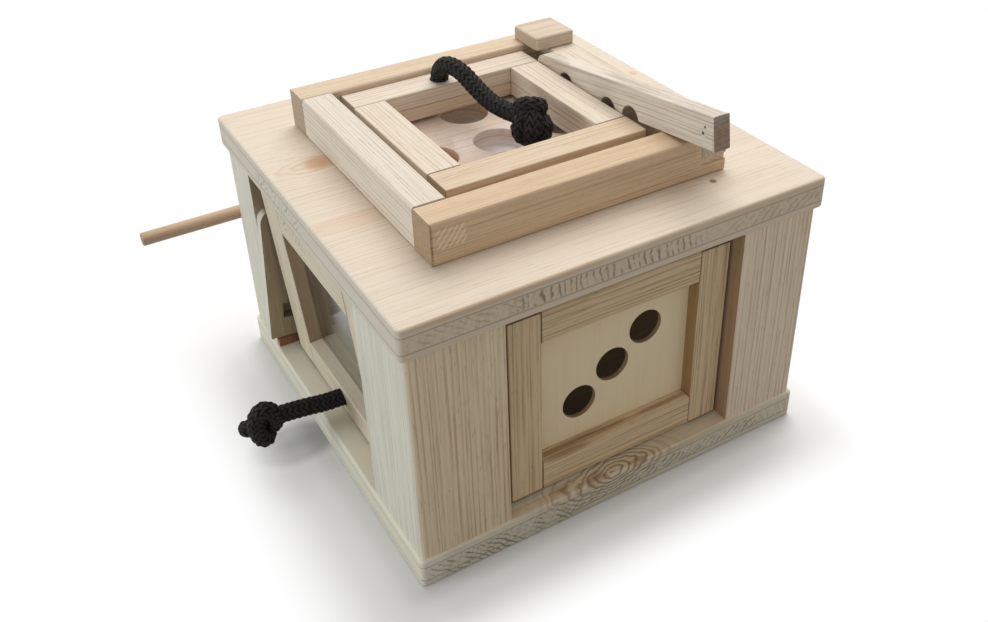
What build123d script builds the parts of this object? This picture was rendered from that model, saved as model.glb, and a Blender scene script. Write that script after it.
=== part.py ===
from build123d import *
import os
from math import cos, radians, sin, sqrt, tan

os.makedirs("parts", exist_ok=True)

# A wooden puzzle box for dogs. Millimetres, +Z up, +X to the right and -Y to the front.
# The origin is the middle of the underside.

# Boards of the box
base_side = 298.0
base_thickness = 22.0
wall_side = 294.0
wall_thickness = 22.0
wall_height = 154.0
top_side = 300.0
top_thickness = 22.0
board_edge_round = 2.0
corner_round = 3.5

# Width of the board in front of the left doorway
left_front_width = 68.0

# Treat wells in the top board, one in the middle and four in a cross about it
well_diameter = 35.0
well_depth = 12.0
well_pitch = 50.0
well_middle_x = 1.0
well_middle_y = 7.0

# Hanging flaps
rail_width = 23.0
flap_thickness = 20.0
flap_head_gap = 11.0
flap_floor_gap = 2.0
hinge_inset = 12.0
hinge_pin_diameter = 6.0
hinge_pin_seat = 10.0
pin_end_gap = 0.5
running_clearance = 0.08
front_flap_width = 164.0
front_flap_middle = 4.0
front_flap_left_gap = 6.5
front_flap_right_gap = 2.0
front_flap_recess = 10.0
left_flap_width = 166.5
left_flap_front_gap = 1.5
left_flap_rear_gap = 6.0
left_flap_recess = 4.0
left_flap_lean = 4.3
left_flap_rear_stile_width = 30.0
left_flap_top_rail_width = 20.0
plywood_thickness = 3.0
acrylic_thickness = 3.0
groove_depth = 3.0
groove_clearance = 0.2
paw_hole_diameter = 25.0
paw_hole_step_x = 25.2
paw_hole_step_z = 19.8
sill_length = 5.4
sill_width = 22.0
sill_height = 6.0

# Round-topped stop bar beside the left flap
stop_bar_width = 22.0
stop_bar_thickness = 8.0
stop_bar_lean = 3.8
stop_bar_depth = 11.5
stop_bar_drop = 20.5
stop_bar_foot_gap = 4.0
stop_bar_notch_rise = 23.0
stop_bar_notch_width = 13.0
stop_bar_notch_depth = 11.0

# Frame on the top board
bar_width = 22.0
bar_height = 28.0
frame_middle_x = -3.0
frame_middle_y = -1.1
lap_length = 19.5
lap_floor = 8.5
lap_tongue = 15.0
lap_gap = 0.5
shim_setback = 0.8

# Lift-off lid
lid_width = 145.0
lid_depth = 155.0
lid_rail_thickness = 11.5
lid_strip_thickness = 10.0
lid_pane_thickness = 2.5
lid_back_gap = 0.4
lid_front_gap = 13.2
lid_left_gap = 5.6
lid_rope_offset = 2.5
pane_inset = 1.0

# Tilted lever beside the lid
lever_reach = 188.0
lever_height = 22.0
lever_thickness = 12.0
lever_tilt = 8.1
lever_pivot_setback = 32.2
lever_side_gap = 0.5
lever_outer_gap = 1.9
lever_pin_diameter = 6.0
lever_pin_seat = 10.0
scallop_radius = 9.0
scallop_reaches = (78.8, 104.2)
deep_scallop_reach = 28.0
deep_scallop_drop = 5.0

# Turning block on the rear corner of the frame
block_side = 33.0
block_thickness = 10.0
block_lift = 0.3
block_corner_round = 3.0
block_edge_round = 2.0
block_pivot_to_side = 10.0
block_side_setback = 1.0
block_back_setback = 7.2
block_pin_diameter = 6.0
block_pin_in_bar = 15.0
block_pin_in_block = 6.0

# Rod along the back
rod_diameter = 10.0
rod_length = 350.0
rod_overhang = 72.5
rod_height = 115.0
rod_end_round = 1.0
guide_width = 22.0
guide_depth = 16.0
guide_height = 24.0
guide_inset = 12.0
guide_pitch = 180.0
guide_web = 1.4

# Braided ropes: hole fit, the knots and the corners of each route
rope_diameter = 12.0
rope_hole_clearance = 0.6
rope_seat_clearance = 0.05
rope_bend_share = 0.45
lid_knot_radius = 16.0
lid_knot_turn_radius = 12.5
left_knot_radius = 10.5
left_knot_tail = 15.0
inner_knot_radius = 11.0
left_rope_y = 1.5
left_rope_rail_height = 12.5
left_rope_straight_out = 5.5
knot_gap = 0.3

eased_edge = 1.0

wall_top = base_thickness + wall_height
flap_height = wall_height - flap_floor_gap - flap_head_gap
board_top = wall_top + top_thickness
bar_top = board_top + bar_height
wall_face = wall_side / 2
wall_inner = wall_face - wall_thickness


def save(piece, name):
    """Label a finished piece and write it to its own file."""
    piece.label = name
    export_step(piece, f"parts/{name}.step")


def long_edges(builder, shortest):
    """The edges of a piece that are longer than a given length."""
    return builder.edges().filter_by(lambda edge: edge.length > shortest)


def bored(piece, mouth, diameter, depth):
    """A piece with a round hole bored from the plane of its mouth, against the plane's normal."""
    with BuildPart() as result:
        add(piece)
        with BuildSketch(mouth):
            Circle(diameter / 2)
        extrude(amount=-depth, mode=Mode.SUBTRACT)
    return result.part


# ---------------------------------------------------------------- base and top boards
with BuildPart() as base_board:
    with BuildSketch():
        RectangleRounded(base_side, base_side, corner_round)
    extrude(amount=base_thickness)
    fillet(base_board.faces().sort_by(Axis.Z)[-1].edges(), board_edge_round)
    fillet(base_board.faces().sort_by(Axis.Z)[0].edges(), board_edge_round)
save(base_board.part, "base_board")

with BuildPart() as top_board:
    with BuildSketch(Plane.XY.offset(wall_top)):
        RectangleRounded(top_side, top_side, corner_round)
    extrude(amount=top_thickness)
    fillet(top_board.faces().sort_by(Axis.Z)[-1].edges(), board_edge_round)
    fillet(top_board.faces().sort_by(Axis.Z)[0].edges(), board_edge_round)
    with BuildSketch(Plane((well_middle_x, well_middle_y, board_top))):
        with Locations(
            (0, 0), (well_pitch, 0), (-well_pitch, 0), (0, well_pitch), (0, -well_pitch)
        ):
            Circle(well_diameter / 2)
    extrude(amount=-well_depth, mode=Mode.SUBTRACT)
save(top_board.part, "top_board")


# ---------------------------------------------------------------- walls of the box
def wall_board(outline):
    """An upright board with mitred ends, drawn from above and softened at the box's corners."""
    with BuildPart() as board:
        with BuildSketch(Plane.XY.offset(base_thickness)):
            with BuildLine():
                Polyline(*outline, close=True)
            make_face()
            RectangleRounded(wall_side, wall_side, corner_round, mode=Mode.INTERSECT)
        extrude(amount=wall_height)
    return board.part


def pin_mouth(x, y, direction):
    """The plane at the mouth of a hinge pin's hole, facing out of the hole."""
    return Plane((x, y, hinge_height), z_dir=direction)


pin_hole = hinge_pin_diameter + 2 * running_clearance
hinge_height = base_thickness + flap_floor_gap + flap_height - hinge_inset
front_hinge_y = -wall_face + front_flap_recess + flap_thickness / 2
left_hinge_x = -wall_face + left_flap_recess + flap_thickness / 2
front_flap_left = front_flap_middle - front_flap_width / 2
front_flap_right = front_flap_middle + front_flap_width / 2
front_door_left = front_flap_left - front_flap_left_gap
front_door_right = front_flap_right + front_flap_right_gap
left_door_front = -wall_face + left_front_width
left_flap_front = left_door_front + left_flap_front_gap
left_flap_rear = left_flap_front + left_flap_width
left_flap_middle = (left_flap_front + left_flap_rear) / 2
left_door_rear = left_flap_rear + left_flap_rear_gap + stop_bar_thickness

front_left_board = wall_board(
    [
        (-wall_face, -wall_face),
        (front_door_left, -wall_face),
        (front_door_left, -wall_inner),
        (-wall_inner, -wall_inner),
    ]
)
front_left_mouth = pin_mouth(front_door_left, front_hinge_y, (1, 0, 0))
save(bored(front_left_board, front_left_mouth, pin_hole, hinge_pin_seat), "front_left_board")

front_right_board = wall_board(
    [
        (wall_face, -wall_face),
        (front_door_right, -wall_face),
        (front_door_right, -wall_inner),
        (wall_inner, -wall_inner),
    ]
)
front_right_mouth = pin_mouth(front_door_right, front_hinge_y, (-1, 0, 0))
save(bored(front_right_board, front_right_mouth, pin_hole, hinge_pin_seat), "front_right_board")

left_front_board = wall_board(
    [
        (-wall_face, -wall_face),
        (-wall_face, left_door_front),
        (-wall_inner, left_door_front),
        (-wall_inner, -wall_inner),
    ]
)
left_front_mouth = pin_mouth(left_hinge_x, left_door_front, (0, 1, 0))
save(bored(left_front_board, left_front_mouth, pin_hole, hinge_pin_seat), "left_front_board")

left_rear_board = wall_board(
    [
        (-wall_face, wall_face),
        (-wall_face, left_door_rear),
        (-wall_inner, left_door_rear),
        (-wall_inner, wall_inner),
    ]
)
left_rear_mouth = pin_mouth(left_hinge_x, left_door_rear, (0, -1, 0))
save(bored(left_rear_board, left_rear_mouth, pin_hole, hinge_pin_seat), "left_rear_board")

right_wall_board = wall_board(
    [
        (wall_face, -wall_face),
        (wall_face, wall_face),
        (wall_inner, wall_inner),
        (wall_inner, -wall_inner),
    ]
)
save(right_wall_board, "right_wall_board")

back_wall_board = wall_board(
    [
        (-wall_face, wall_face),
        (wall_face, wall_face),
        (wall_inner, wall_inner),
        (-wall_inner, wall_inner),
    ]
)
save(back_wall_board, "back_wall_board")

with BuildPart() as sill_block:
    with BuildSketch(Plane.XY.offset(base_thickness)):
        with Locations((-wall_face + sill_width / 2, left_door_rear - sill_length / 2)):
            Rectangle(sill_width, sill_length)
    extrude(amount=sill_height)
    fillet(sill_block.edges().filter_by(Axis.X).group_by(Axis.Z)[-1].sort_by(Axis.Y)[0], eased_edge)
save(sill_block.part, "sill_block")

# The stop bar is fixed to the rear board's doorway edge, and its foot leans out of the doorway.
stop_lean = radians(stop_bar_lean)
stop_height = hinge_height - stop_bar_drop
stop_foot = base_thickness + sill_height + stop_bar_foot_gap + stop_bar_width / 2 * sin(stop_lean)
stop_reach = (stop_height - stop_foot) / cos(stop_lean)
stop_plane = Plane(
    (-wall_face + stop_bar_depth, left_door_rear, stop_height),
    x_dir=(-sin(stop_lean), 0, -cos(stop_lean)),
    z_dir=(0, -1, 0),
)
with BuildPart() as stop_bar:
    with BuildSketch(stop_plane):
        Circle(stop_bar_width / 2)
        with Locations((stop_reach / 2, 0)):
            Rectangle(stop_reach, stop_bar_width)
        with Locations(
            (stop_reach - stop_bar_notch_rise, (stop_bar_width - stop_bar_notch_depth) / 2)
        ):
            Rectangle(stop_bar_notch_width, stop_bar_notch_depth, mode=Mode.SUBTRACT)
    extrude(amount=stop_bar_thickness)
save(stop_bar.part, "stop_bar")


# ---------------------------------------------------------------- hanging flaps
flap_top = hinge_inset
flap_foot = flap_top - flap_height
flap_middle = flap_top - flap_height / 2


def flap_window(width, left_stile, right_stile, top_rail):
    """The left, right, bottom and top of a flap's opening, in the plane of its hinge."""
    return left_stile - width / 2, width / 2 - right_stile, flap_foot + rail_width, flap_top - top_rail


def flap_rectangle(left, right, bottom, top, margin=0.0):
    """A rectangle between four sides, grown by a margin all round."""
    with Locations(((left + right) / 2, (bottom + top) / 2)):
        Rectangle(right - left + 2 * margin, top - bottom + 2 * margin)


def flap_piece(hinge, sides, window, sheet_thickness):
    """A rail or stile of a flap, grooved along its inner edge for the sheet it holds."""
    with BuildPart() as piece:
        with BuildSketch(hinge.offset(-flap_thickness / 2)):
            flap_rectangle(*sides)
        extrude(amount=flap_thickness)
        fillet(long_edges(piece, flap_thickness + rail_width), eased_edge)
        with BuildSketch(hinge.offset(-sheet_thickness - groove_clearance / 2)):
            flap_rectangle(*window, groove_depth + groove_clearance / 2)
        extrude(amount=sheet_thickness + groove_clearance, mode=Mode.SUBTRACT)
    return piece.part


def flap_pieces(hinge, width, window, sheet_thickness):
    """The two stiles of a flap and the two rails between them, in the plane of its hinge."""
    half = width / 2
    left, right, bottom, top = window
    corners = {
        "left_stile": (-half, left, flap_foot, flap_top),
        "right_stile": (right, half, flap_foot, flap_top),
        "top_rail": (left, right, top, flap_top),
        "bottom_rail": (left, right, flap_foot, bottom),
    }
    return {
        name: flap_piece(hinge, sides, window, sheet_thickness)
        for name, sides in corners.items()
    }


def flap_sheet(hinge, window, thickness):
    """The sheet in the grooves of a flap, its outer face in the flap's middle."""
    with BuildPart() as sheet:
        with BuildSketch(hinge.offset(-thickness)):
            flap_rectangle(*window, groove_depth)
        extrude(amount=thickness)
    return sheet.part


def hinge_pins(board_left, flap_left, flap_right, board_right, place):
    """The two hinge pins of a flap, each seated in a board and in a stile."""
    seat = hinge_pin_seat - pin_end_gap
    with BuildPart() as pins:
        for start, finish in (
            (board_left - seat, flap_left + seat),
            (flap_right - seat, board_right + seat),
        ):
            with BuildSketch(Plane(place(start), z_dir=place(finish) - place(start))):
                Circle(hinge_pin_diameter / 2)
            extrude(amount=finish - start)
    return pins.part


# Front flap, with a plywood panel that has a slanting row of paw holes
front_hinge = Plane((front_flap_middle, front_hinge_y, hinge_height), z_dir=(0, -1, 0), x_dir=(1, 0, 0))
front_window = flap_window(front_flap_width, rail_width, rail_width, rail_width)
front = flap_pieces(front_hinge, front_flap_width, front_window, plywood_thickness)
left_mouth = pin_mouth(front_flap_left, front_hinge_y, (-1, 0, 0))
right_mouth = pin_mouth(front_flap_right, front_hinge_y, (1, 0, 0))
save(bored(front["left_stile"], left_mouth, pin_hole, hinge_pin_seat), "front_flap_left_stile")
save(bored(front["right_stile"], right_mouth, pin_hole, hinge_pin_seat), "front_flap_right_stile")
save(front["top_rail"], "front_flap_top_rail")
save(front["bottom_rail"], "front_flap_bottom_rail")

with BuildPart() as front_flap_panel:
    add(flap_sheet(front_hinge, front_window, plywood_thickness))
    with BuildSketch(front_hinge):
        with Locations(
            (-paw_hole_step_x, flap_middle - paw_hole_step_z),
            (0, flap_middle),
            (paw_hole_step_x, flap_middle + paw_hole_step_z),
        ):
            Circle(paw_hole_diameter / 2)
    extrude(amount=-plywood_thickness, mode=Mode.SUBTRACT)
save(front_flap_panel.part, "front_flap_panel")

front_flap_pins = hinge_pins(
    front_door_left,
    front_flap_left,
    front_flap_right,
    front_door_right,
    lambda x: Vector(x, front_hinge_y, hinge_height),
)
save(front_flap_pins, "front_flap_pins")

# Left flap, with a clear pane and a rope through its bottom rail; it leans in at the foot
lean = radians(left_flap_lean)
left_hinge = Plane(
    (left_hinge_x, left_flap_middle, hinge_height), x_dir=(0, -1, 0), z_dir=(-cos(lean), 0, -sin(lean))
)
left_window = flap_window(
    left_flap_width, left_flap_rear_stile_width, rail_width, left_flap_top_rail_width
)
left = flap_pieces(left_hinge, left_flap_width, left_window, acrylic_thickness)
rear_mouth = pin_mouth(left_hinge_x, left_flap_rear, (0, 1, 0))
front_mouth = pin_mouth(left_hinge_x, left_flap_front, (0, -1, 0))
save(bored(left["left_stile"], rear_mouth, pin_hole, hinge_pin_seat), "left_flap_rear_stile")
save(bored(left["right_stile"], front_mouth, pin_hole, hinge_pin_seat), "left_flap_front_stile")
save(left["top_rail"], "left_flap_top_rail")

rope_hole = rope_diameter + 2 * rope_hole_clearance
rope_rail_level = flap_foot + left_rope_rail_height
rope_across = left_flap_middle - left_rope_y
rope_mouth = Plane(
    left_hinge.from_local_coords((rope_across, rope_rail_level, flap_thickness)),
    z_dir=left_hinge.z_dir,
)
save(
    bored(left["bottom_rail"], rope_mouth, rope_hole, 2 * flap_thickness), "left_flap_bottom_rail"
)
save(flap_sheet(left_hinge, left_window, acrylic_thickness), "left_flap_pane")

left_flap_pins = hinge_pins(
    left_door_front,
    left_flap_front,
    left_flap_rear,
    left_door_rear,
    lambda y: Vector(left_hinge_x, y, hinge_height),
)
save(left_flap_pins, "left_flap_pins")


# ---------------------------------------------------------------- frame on the top board
frame_length = (
    2 * bar_width + lid_left_gap + lid_width + lever_side_gap + lever_thickness + lever_outer_gap
)
frame_depth = 2 * bar_width + lid_front_gap + lid_depth + lid_back_gap
frame_left = frame_middle_x - frame_length / 2
frame_right = frame_middle_x + frame_length / 2
frame_front = frame_middle_y - frame_depth / 2
frame_back = frame_middle_y + frame_depth / 2
opening_front = frame_front + bar_width
opening_back = frame_back - bar_width
opening_left = frame_left + bar_width
opening_right = frame_right - bar_width


def bar(left, right, front, back, bottom, top, radius):
    """A straight square-ended bar with its four long edges rounded."""
    with BuildPart() as piece:
        with BuildSketch(Plane.XY.offset(bottom)):
            with Locations(((left + right) / 2, (front + back) / 2)):
                Rectangle(right - left, back - front)
        extrude(amount=top - bottom)
        fillet(long_edges(piece, max(right - left, back - front) - 1), radius)
    return piece.part


lap_left = frame_right - lap_length
shim_bottom = board_top + lap_floor
tongue_bottom = bar_top - lap_tongue
with BuildPart() as frame_front_bar:
    add(bar(frame_left, frame_right, frame_front, opening_front, board_top, bar_top, board_edge_round))
    with BuildSketch(Plane.XY.offset(shim_bottom)):
        with Locations((frame_right - lap_length / 2, frame_front + bar_width / 2)):
            Rectangle(lap_length, bar_width)
    extrude(amount=bar_height, mode=Mode.SUBTRACT)
save(frame_front_bar.part, "frame_front_bar")

block_pivot_x = frame_right - block_side_setback - block_pivot_to_side
block_pivot_y = frame_back - block_back_setback - block_pivot_to_side
block_mouth = Plane((block_pivot_x, block_pivot_y, bar_top))
frame_back_bar = bar(
    frame_left, frame_right, opening_back, frame_back, board_top, bar_top, board_edge_round
)
block_pin_hole = block_pin_diameter + 2 * running_clearance
save(bored(frame_back_bar, block_mouth, block_pin_hole, block_pin_in_bar), "frame_back_bar")

frame_left_bar = bar(
    frame_left, opening_left, opening_front, opening_back, board_top, bar_top, board_edge_round
)
save(frame_left_bar, "frame_left_bar")

# The right bar's tongue laps over the end of the front bar, on a thin shim.
lid_left = opening_left + lid_left_gap
lid_right = lid_left + lid_width
lever_left = lid_right + lever_side_gap
pivot_y = opening_back - lever_pivot_setback
tilt = radians(lever_tilt)
pivot_z = bar_top + lever_height / 2 / cos(tilt) - (pivot_y - opening_front) * tan(tilt)
with BuildPart() as frame_right_bar:
    with BuildSketch(Plane.XY.offset(board_top)):
        with Locations((frame_right - bar_width / 2, (opening_front + opening_back) / 2)):
            Rectangle(bar_width, opening_back - opening_front)
    extrude(amount=bar_height)
    with BuildSketch(Plane.XY.offset(tongue_bottom)):
        with Locations(((lap_left + lap_gap + frame_right) / 2, frame_front + bar_width / 2)):
            Rectangle(lap_length - lap_gap, bar_width)
    extrude(amount=lap_tongue)
    fillet(long_edges(frame_right_bar, opening_back - opening_front - 1), board_edge_round)
    with BuildSketch(Plane((opening_right, pivot_y, pivot_z), z_dir=(-1, 0, 0))):
        Circle(lever_pin_diameter / 2 + running_clearance)
    extrude(amount=-lever_pin_seat, mode=Mode.SUBTRACT)
save(frame_right_bar.part, "frame_right_bar")

with BuildPart() as lap_shim:
    with BuildSketch(Plane.XY.offset(shim_bottom)):
        with Locations(
            (frame_right - lap_length / 2 - shim_setback / 2, frame_front + (bar_width + shim_setback) / 2)
        ):
            Rectangle(lap_length - shim_setback, bar_width - shim_setback)
    extrude(amount=tongue_bottom - shim_bottom)
save(lap_shim.part, "lap_shim")


# ---------------------------------------------------------------- lift-off lid
lid_back = opening_back - lid_back_gap
lid_front = lid_back - lid_depth
pane_top = board_top + lid_pane_thickness
strip_top = pane_top + lid_strip_thickness
lid_top = strip_top + lid_rail_thickness
window_left = lid_left + rail_width
window_right = lid_right - rail_width
window_front = lid_front + rail_width
window_back = lid_back - rail_width
lid_rope_x = (window_left + window_right) / 2 - lid_rope_offset
lid_rope_y = lid_back - rail_width / 2

# Two layers of rails and stiles lie one on the other, and the upper one carries the rope.
for layer, bottom, top in (("lid_", strip_top, lid_top), ("lid_lower_", pane_top, strip_top)):
    front_rail = bar(lid_left, lid_right, lid_front, window_front, bottom, top, eased_edge)
    save(front_rail, f"{layer}front_rail")
    left_stile = bar(lid_left, window_left, window_front, window_back, bottom, top, eased_edge)
    save(left_stile, f"{layer}left_stile")
    right_stile = bar(window_right, lid_right, window_front, window_back, bottom, top, eased_edge)
    save(right_stile, f"{layer}right_stile")

lid_back_rail = bar(lid_left, lid_right, window_back, lid_back, strip_top, lid_top, eased_edge)
lid_rope_mouth = Plane((lid_rope_x, lid_rope_y, lid_top))
save(bored(lid_back_rail, lid_rope_mouth, rope_hole, lid_rail_thickness), "lid_back_rail")
lid_lower_back_rail = bar(
    lid_left, lid_right, window_back, lid_back, pane_top, strip_top, eased_edge
)
save(lid_lower_back_rail, "lid_lower_back_rail")

with BuildPart() as lid_pane:
    with BuildSketch(Plane.XY.offset(board_top)):
        with Locations(((lid_left + lid_right) / 2, (lid_front + lid_back) / 2)):
            Rectangle(lid_width - 2 * pane_inset, lid_depth - 2 * pane_inset)
    extrude(amount=lid_pane_thickness)
save(lid_pane.part, "lid_pane")


# ---------------------------------------------------------------- lever
lever_plane = Plane(
    (lever_left, pivot_y, pivot_z), x_dir=(0, -cos(tilt), sin(tilt)), z_dir=(1, 0, 0)
)
with BuildPart() as lever_bar:
    with BuildSketch(lever_plane):
        Circle(lever_height / 2)
        with Locations((lever_reach / 2, 0)):
            Rectangle(lever_reach, lever_height)
    extrude(amount=lever_thickness)
    fillet(long_edges(lever_bar, lever_reach / 2), eased_edge)
    with BuildSketch(lever_plane):
        with Locations(
            (deep_scallop_reach, deep_scallop_drop),
            *[(reach, lever_height / 2) for reach in scallop_reaches],
        ):
            Circle(scallop_radius)
        Circle(lever_pin_diameter / 2 + running_clearance)
    extrude(amount=lever_thickness, mode=Mode.SUBTRACT)
save(lever_bar.part, "lever_bar")

with BuildPart() as lever_pin:
    with BuildSketch(Plane((lever_left, pivot_y, pivot_z), z_dir=(1, 0, 0))):
        Circle(lever_pin_diameter / 2)
    extrude(amount=opening_right - lever_left + lever_pin_seat - pin_end_gap)
save(lever_pin.part, "lever_pin")


# ---------------------------------------------------------------- turning block
block_bottom = bar_top + block_lift
block_middle_x = block_pivot_x + block_pivot_to_side - block_side / 2
block_middle_y = block_pivot_y + block_pivot_to_side - block_side / 2
with BuildPart() as turn_block:
    with BuildSketch(Plane((block_middle_x, block_middle_y, block_bottom))):
        RectangleRounded(block_side, block_side, block_corner_round)
    extrude(amount=block_thickness)
    fillet(turn_block.faces().sort_by(Axis.Z)[-1].edges(), block_edge_round)
    fillet(turn_block.faces().sort_by(Axis.Z)[0].edges(), eased_edge)
    with BuildSketch(Plane((block_pivot_x, block_pivot_y, block_bottom))):
        Circle(block_pin_diameter / 2 + running_clearance)
    extrude(amount=block_pin_in_block, mode=Mode.SUBTRACT)
save(turn_block.part, "turn_block")

block_pin_bottom = bar_top - block_pin_in_bar + pin_end_gap
with BuildPart() as turn_block_pin:
    with BuildSketch(Plane((block_pivot_x, block_pivot_y, block_pin_bottom))):
        Circle(block_pin_diameter / 2)
    extrude(amount=block_bottom + block_pin_in_block - block_pin_bottom)
save(turn_block_pin.part, "turn_block_pin")


# ---------------------------------------------------------------- rod and its guides
rod_left = -wall_face - rod_overhang
rod_y = wall_face + guide_web + rod_diameter / 2 + running_clearance
with BuildPart() as back_rod:
    with BuildSketch(Plane((rod_left, rod_y, rod_height), z_dir=(1, 0, 0))):
        Circle(rod_diameter / 2)
    extrude(amount=rod_length)
    fillet(back_rod.edges().filter_by(GeomType.CIRCLE), rod_end_round)
save(back_rod.part, "back_rod")


def rod_guide(middle_x):
    """A block glued on the back wall, bored for the rod to slide through."""
    with BuildPart() as guide:
        with BuildSketch(
            Plane((middle_x - guide_width / 2, rod_y, rod_height), x_dir=(0, 1, 0), z_dir=(1, 0, 0))
        ):
            with Locations((wall_face + guide_depth / 2 - rod_y, 0)):
                Rectangle(guide_depth, guide_height)
            Circle(rod_diameter / 2 + running_clearance, mode=Mode.SUBTRACT)
        extrude(amount=guide_width)
        fillet(guide.edges().filter_by(Axis.X).group_by(Axis.Y)[-1], board_edge_round)
    return guide.part


left_guide_x = -wall_face + guide_inset + guide_width / 2
save(rod_guide(left_guide_x), "left_rod_guide")
save(rod_guide(left_guide_x + guide_pitch), "right_rod_guide")


# ---------------------------------------------------------------- ropes and knots
def route_bends(points):
    """Bend radii that leave every run of a rope's route a straight middle part."""
    runs = [finish - start for start, finish in zip(points, points[1:])]
    radii = []
    for before, after in zip(runs, runs[1:]):
        shorter = min(before.length, after.length)
        half_turn = radians(before.get_angle(after)) / 2
        radii.append(rope_bend_share * shorter / tan(half_turn))
    return radii


def rope(points, name):
    """A round rope swept along its route; the bend radii and the volume check are printed."""
    radii = route_bends(points)
    with BuildPart() as cord:
        with BuildLine() as route:
            FilletPolyline(*points, radius=radii)
        with BuildSketch(Plane(points[0], z_dir=points[1] - points[0])):
            Circle(rope_diameter / 2)
        sweep()
    length = route.wires()[0].length
    expected = Face(Wire(Edge.make_circle(rope_diameter / 2))).area * length
    print(name, "radii", [round(radius, 1) for radius in radii])
    print(name, "length", round(length, 1), "volume ratio", round(cord.part.volume / expected, 4))
    save(cord.part, name)


def knot(lobes, end, approach, name, tail=None):
    """A knot of overlapping round lobes with a socket for the end of its rope."""
    with BuildPart() as ball:
        for centre, radius in lobes:
            with Locations(centre):
                Sphere(radius)
        if tail:
            with BuildSketch(Plane(tail[0], z_dir=tail[1] - tail[0])):
                Circle(rope_diameter / 2)
            extrude(amount=(tail[1] - tail[0]).length)
        with BuildSketch(Plane(end, z_dir=approach - end)):
            Circle(rope_diameter / 2 + rope_seat_clearance)
        extrude(amount=(approach - end).length, mode=Mode.SUBTRACT)
    save(ball.part, name)


# The lid's rope stands up out of the back rail, arches over and lies down on the pane.
lid_rope_start = Vector(lid_rope_x, lid_rope_y, lid_top)
lid_route = [
    Vector(lid_rope_x, lid_rope_y, strip_top),
    lid_rope_start + Vector(0, 0, 0.33) * rope_diameter,
    lid_rope_start + Vector(0, -0.9, 1.29) * rope_diameter,
    lid_rope_start + Vector(0.37, -2.19, 1.25) * rope_diameter,
    lid_rope_start + Vector(0.74, -3.48, 0.375) * rope_diameter,
    lid_rope_start + Vector(1.2, -5.03, -0.29) * rope_diameter,
    lid_rope_start + Vector(1.78, -6.61, -0.25) * rope_diameter,
]
rope(lid_route, "lid_rope")
lid_knot_height = pane_top + lid_knot_radius + knot_gap - lid_top
lid_knot_middle = lid_rope_start + Vector(1.85, -7.43, 0) * rope_diameter + Vector(0, 0, lid_knot_height)
lid_knot_turn = lid_knot_middle + Vector(0.17, 0.46, 0.7) * lid_knot_radius
knot(
    [(lid_knot_middle, lid_knot_radius), (lid_knot_turn, lid_knot_turn_radius)],
    lid_route[-1],
    lid_route[-2],
    "lid_rope_knot",
)

# The left rope passes through the flap's bottom rail, between a stop knot and a pull knot.
rail_outside = left_hinge.from_local_coords((rope_across, rope_rail_level, flap_thickness / 2))
rail_inside = left_hinge.from_local_coords((rope_across, rope_rail_level, -flap_thickness / 2))
inward = (rail_inside - rail_outside).normalized()
inner_knot_middle = rail_inside + inward * (inner_knot_radius + knot_gap)
left_route = [
    rail_inside + inward * 0.6 * inner_knot_radius,
    rail_outside - inward * left_rope_straight_out,
    rail_outside + Vector(-2.67, -0.06, 0.46) * rope_diameter,
    rail_outside + Vector(-4.62, -0.12, 0.63) * rope_diameter,
]
rope(left_route, "left_flap_rope")
knot([(inner_knot_middle, inner_knot_radius)], left_route[0], left_route[1], "inner_rope_knot")
pull_lobe = left_route[-1] + Vector(0.15, 0, 0.28) * left_knot_radius
pull_ball = left_route[-1] + Vector(-0.41, 0, -1.17) * left_knot_radius
knot(
    [(pull_lobe, left_knot_radius), (pull_ball, left_knot_radius)],
    left_route[-1],
    left_route[-2],
    "left_rope_knot",
    (pull_ball, pull_ball + Vector(-0.82, 0, 0.57) * left_knot_tail),
)
for place in lid_route + left_route:
    print([round(value, 2) for value in place])
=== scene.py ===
import math
from collections import namedtuple

import bmesh
import bpy
from mathutils import Matrix, Vector


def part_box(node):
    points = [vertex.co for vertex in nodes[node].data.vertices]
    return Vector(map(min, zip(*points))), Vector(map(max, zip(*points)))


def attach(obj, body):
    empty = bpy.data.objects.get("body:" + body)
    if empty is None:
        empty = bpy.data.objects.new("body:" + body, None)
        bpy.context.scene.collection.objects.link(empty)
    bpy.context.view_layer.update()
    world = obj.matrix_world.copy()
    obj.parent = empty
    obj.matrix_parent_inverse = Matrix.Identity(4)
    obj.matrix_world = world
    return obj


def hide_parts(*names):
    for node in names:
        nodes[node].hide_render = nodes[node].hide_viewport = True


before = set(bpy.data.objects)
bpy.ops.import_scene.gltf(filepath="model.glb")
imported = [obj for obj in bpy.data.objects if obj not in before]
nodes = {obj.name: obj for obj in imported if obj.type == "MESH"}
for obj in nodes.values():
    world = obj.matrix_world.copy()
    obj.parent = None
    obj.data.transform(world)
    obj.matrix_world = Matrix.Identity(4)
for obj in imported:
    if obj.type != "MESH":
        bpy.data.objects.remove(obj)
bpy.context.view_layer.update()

AXES = "xyz"

# The two boards by whose edges the marks, the floor's shadow with its painted foot shadow, and the painted
# shade inside the box are placed
top_low, top_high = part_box("top_board")
base_low, base_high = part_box("base_board")


def add_object(name, data):
    """A new object in the scene, at the origin."""
    made = bpy.data.objects.new(name, data)
    bpy.context.scene.collection.objects.link(made)
    return made


def add_mesh(name, mesh):
    """A new object from a finished bmesh."""
    data = bpy.data.meshes.new(name)
    mesh.to_mesh(data)
    mesh.free()
    return add_object(name, data)


# ------------------------------------------------------------------ camera
CAMERA_PLACE = (-0.3127, -0.5556, 0.5294)
CAMERA_AZIMUTH = math.radians(-30.15)
CAMERA_ELEVATION = math.radians(32.5)
CAMERA_ROLL = math.radians(-1.37)


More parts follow.
